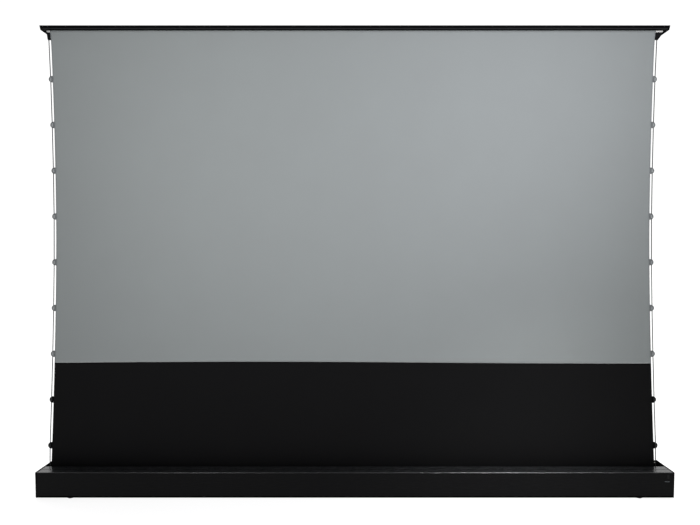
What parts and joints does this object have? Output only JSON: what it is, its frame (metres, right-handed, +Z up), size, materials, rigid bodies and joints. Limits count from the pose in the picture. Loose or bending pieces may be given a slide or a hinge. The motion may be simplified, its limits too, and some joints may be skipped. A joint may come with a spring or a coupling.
{
  "type": "pull up projection screen",
  "caption": "Floor-standing motorised projection screen: a lid-like bar on folding arms lifts a grey side-tensioned sheet with a black lower border out of a long base box.",
  "frame": {"origin": "on the floor, under the middle of the base box", "axes": "+X to the right of someone who faces the picture, +Y from front to back, +Z up"},
  "size_m": [2.796, 0.165, 2.081],
  "materials": {
    "black_anodised": "satin black anodised",
    "black_plastic": "matte black",
    "rubber": "matte",
    "black_steel": "black",
    "zinc_steel": "zinc plated",
    "spring_steel": "drawn wire",
    "bare_aluminium": "bare",
    "acetal": "natural white",
    "grey_sheeting": "matte grey screen surface",
    "black_sheeting": "matte black",
    "tab_grey": "light grey",
    "cord": "braided light grey",
    "window": "tinted",
    "lens": "milky"
  },
  "bodies": {
    "base": {"housing_tray": "black_anodised", "front_cover": "black_anodised", "motor_plate": "zinc_steel", "idler_plate": "zinc_steel", "tubular_motor": "zinc_steel", "control_box": "black_plastic", "receiver_window": "window", "status_light": "lens", "power_panel": "black_plastic", "end_cap_left": "black_plastic", "end_cap_right": "black_plastic", "foot_front_left": "rubber", "foot_front_right": "rubber", "foot_rear_left": "rubber", "foot_rear_right": "rubber", "base_clevis_left": "black_steel", "base_clevis_right": "black_steel", "base_pivot_pin_left": "zinc_steel", "base_pivot_pin_right": "zinc_steel", "grey_sheet": "grey_sheeting", "black_drop": "black_sheeting", "black_tab_strip_left": "black_sheeting", "black_tab_strip_right": "black_sheeting", "grey_tab_strip_left": "tab_grey", "grey_tab_strip_right": "tab_grey", "tension_cord_left": "cord", "tension_cord_right": "cord"},
    "roller": {"roller_tube": "bare_aluminium", "motor_side_spool": "acetal", "idler_spool": "acetal", "drive_wheel": "acetal", "wound_fabric": "black_sheeting", "wound_cord_left": "cord", "wound_cord_right": "cord"},
    "power_switch": {"power_rocker": "black_plastic"},
    "lift_button": {"lift_button": "black_plastic"},
    "lower_arm_left": {"lower_arm_left": "black_anodised", "arm_spring_left": "spring_steel", "arm_cable_left": "zinc_steel"},
    "lower_arm_right": {"lower_arm_right": "black_anodised", "arm_spring_right": "spring_steel", "arm_cable_right": "zinc_steel"},
    "upper_arm_left": {"upper_arm_left": "black_anodised", "elbow_pulley_left": "acetal", "elbow_pin_left": "zinc_steel"},
    "upper_arm_right": {"upper_arm_right": "black_anodised", "elbow_pulley_right": "acetal", "elbow_pin_right": "zinc_steel"},
    "lid": {"lid_top_plate": "black_anodised", "lid_front_skirt": "black_anodised", "lid_rear_skirt": "black_anodised", "hem_rod": "bare_aluminium", "lid_cap_left": "black_plastic", "lid_cap_right": "black_plastic", "tension_gusset_left": "black_plastic", "tension_gusset_right": "black_plastic", "lid_clevis_left": "black_steel", "lid_clevis_right": "black_steel", "lid_pivot_pin_left": "zinc_steel", "lid_pivot_pin_right": "zinc_steel"}
  },
  "joints": [
    {"name": "lift", "type": "hinge", "parent": "base", "child": "lower_arm_left", "pos_m": [-1.06, 0.024, 0.05], "axis": [0, 1, 0], "range_deg": [0, 78.97], "deforming": ["grey_sheet", "black_drop", "black_tab_strip_left", "black_tab_strip_right", "grey_tab_strip_left", "grey_tab_strip_right", "tension_cord_left", "tension_cord_right"]},
    {"name": "elbow_left", "type": "hinge", "parent": "lower_arm_left", "child": "upper_arm_left", "pos_m": [-0.88948, 0.036, 1.0455], "axis": [0, 1, 0], "range_deg": [-158.44, 0]},
    {"name": "lid_level", "type": "hinge", "parent": "upper_arm_left", "child": "lid", "pos_m": [-1.06, 0.048, 2.041], "axis": [0, 1, 0], "range_deg": [0, 79.47]},
    {"name": "lower_pivot_right", "type": "hinge", "parent": "base", "child": "lower_arm_right", "pos_m": [1.06, 0.024, 0.05], "axis": [0, 1, 0], "range_deg": [-79.47, 0]},
    {"name": "elbow_right", "type": "hinge", "parent": "lower_arm_right", "child": "upper_arm_right", "pos_m": [0.88948, 0.036, 1.0455], "axis": [0, 1, 0], "range_deg": [0, 158.44]},
    {"name": "roller_turn", "type": "hinge", "parent": "base", "child": "roller", "pos_m": [0, -0.03149, 0.057], "axis": [1, 0, 0], "range_deg": [-3336.7, 0]},
    {"name": "power_rocker_tilt", "type": "hinge", "parent": "base", "child": "power_switch", "pos_m": [1.295, 0.0745, 0.058], "axis": [1, 0, 0], "range_deg": [-14, 0]},
    {"name": "lift_button_press", "type": "slide", "parent": "base", "child": "lift_button", "axis": [0, -1, 0], "range_m": [0, 0.0015], "stiffness_N_per_m": 300, "springref_m": -0.001}
  ],
  "couplings": [
    {"joint": "elbow_left", "follows": "lift", "ratio": -2},
    {"joint": "lid_level", "follows": "lift", "ratio": 1},
    {"joint": "lower_pivot_right", "follows": "lift", "ratio": -1},
    {"joint": "elbow_right", "follows": "lift", "ratio": 2},
    {"joint": "roller_turn", "follows": "lift", "ratio": -42}
  ]
}
